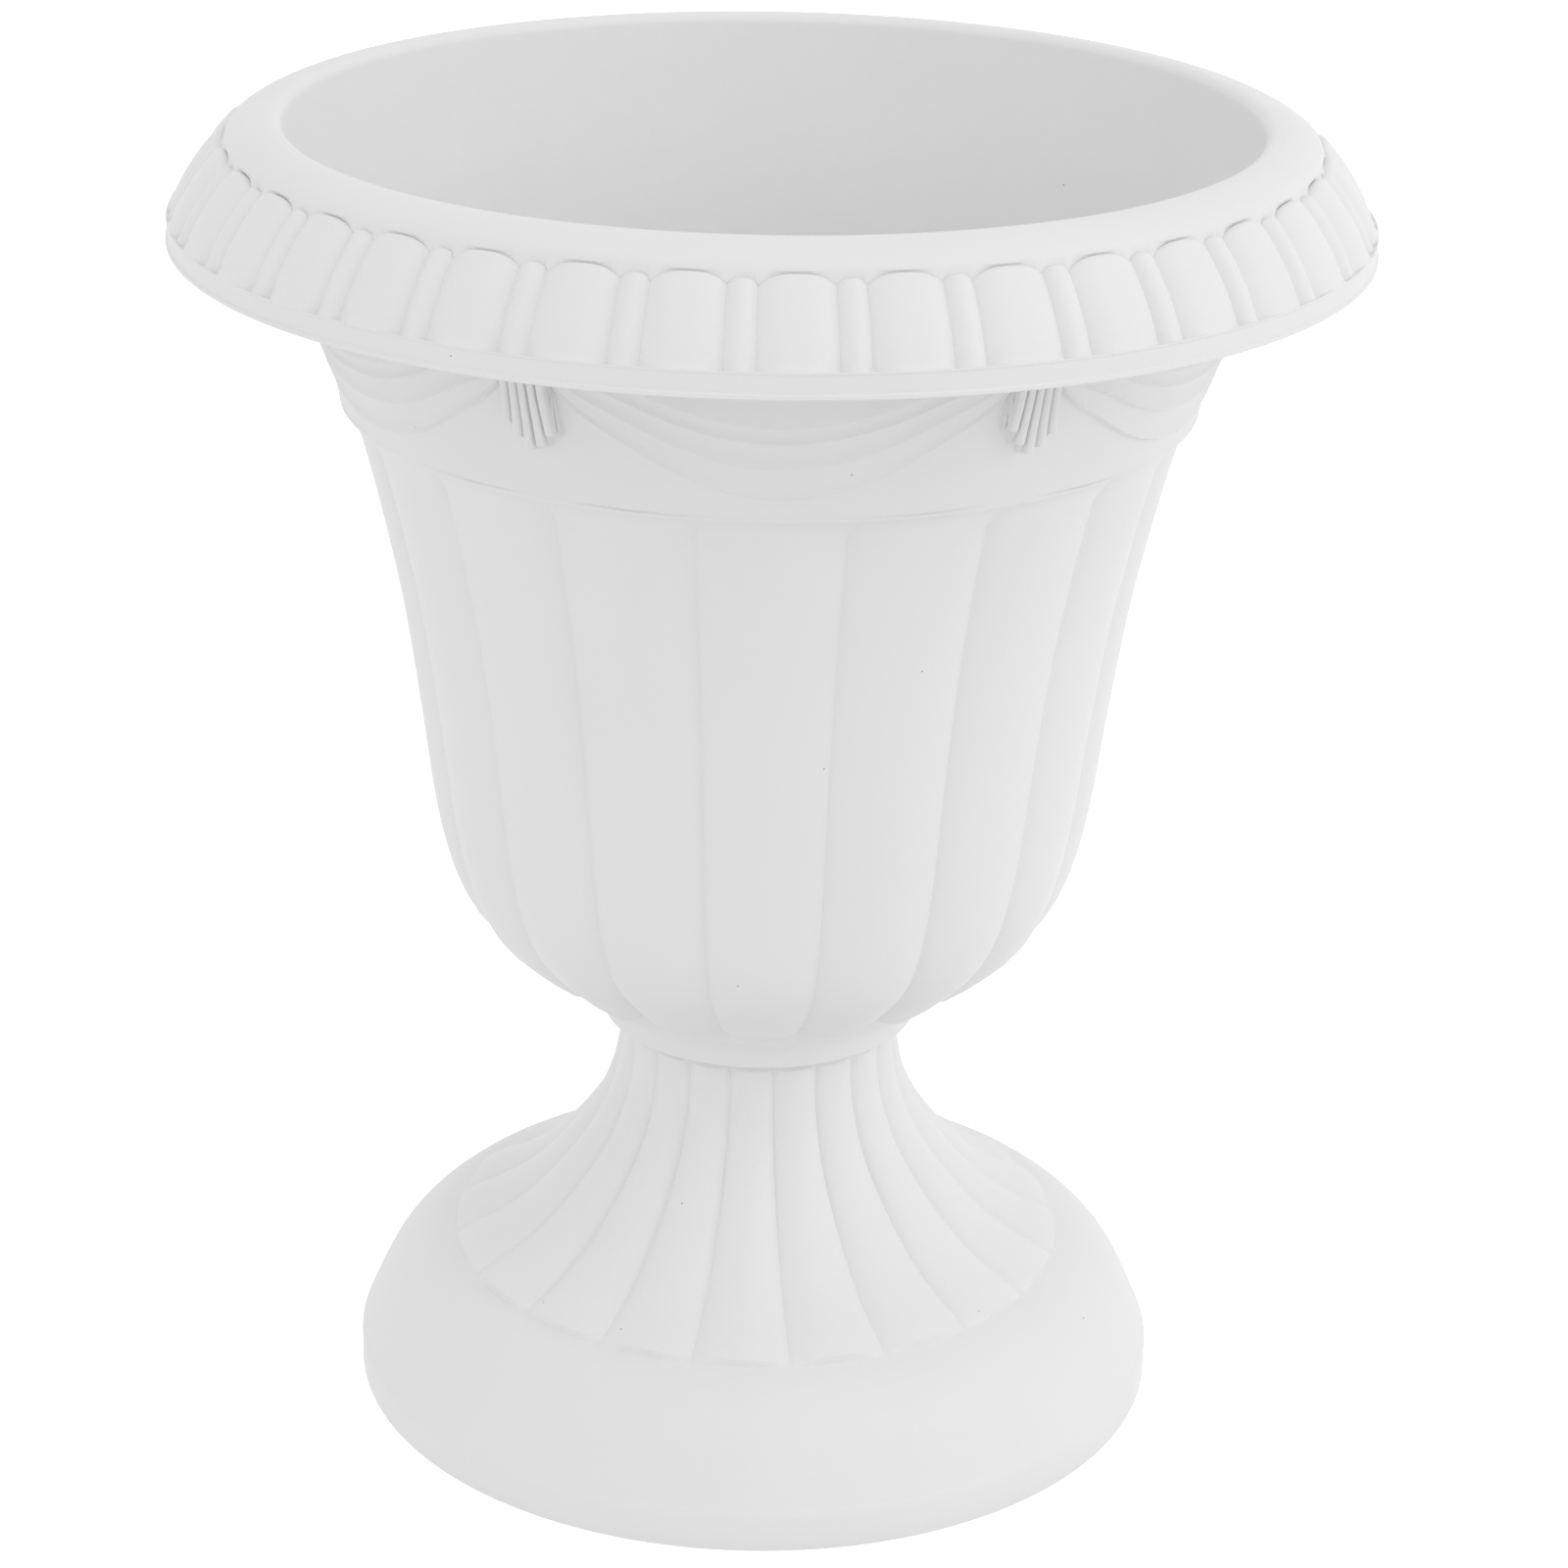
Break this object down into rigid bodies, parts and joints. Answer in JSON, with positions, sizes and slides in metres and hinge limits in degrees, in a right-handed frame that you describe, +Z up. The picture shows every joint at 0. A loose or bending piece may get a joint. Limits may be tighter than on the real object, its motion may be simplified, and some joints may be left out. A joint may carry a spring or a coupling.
{
  "type": "urn vase",
  "caption": "Pedestal urn vase with a lobed bowl, hanging swags, an egg-and-bar rim, a fluted foot, a central fixing bolt and pull-out drain plugs.",
  "frame": {"origin": "centre of the plinth's underside, on the surface that the urn stands on", "axes": "+Z up along the urn's axis; -Y is the side that faces the picture's camera; +X is its right"},
  "size_m": [0.252, 0.252, 0.29],
  "materials": {
    "urn_plastic": "matt white moulded plastic with a fine sandy grain and a few tiny dark specks",
    "fixing_steel": "plain zinc-plated steel",
    "seal_rubber": "matt black rubber"
  },
  "bodies": {
    "urn": {"bowl": "urn_plastic", "pedestal": "urn_plastic", "bolt": "fixing_steel", "head_washer": "fixing_steel", "nut_washer": "fixing_steel", "bolt_nut": "fixing_steel", "seal_washer": "seal_rubber"},
    "drain_plug_1_body": {"drain_plug_1": "seal_rubber"},
    "drain_plug_2_body": {"drain_plug_2": "seal_rubber"},
    "drain_plug_3_body": {"drain_plug_3": "seal_rubber"}
  },
  "joints": [
    {"name": "drain_plug_1_pull", "type": "slide", "parent": "urn", "child": "drain_plug_1_body", "axis": [0, 0, 1], "range_m": [0, 0.03]},
    {"name": "drain_plug_2_pull", "type": "slide", "parent": "urn", "child": "drain_plug_2_body", "axis": [0, 0, 1], "range_m": [0, 0.03]},
    {"name": "drain_plug_3_pull", "type": "slide", "parent": "urn", "child": "drain_plug_3_body", "axis": [0, 0, 1], "range_m": [0, 0.03]}
  ]
}
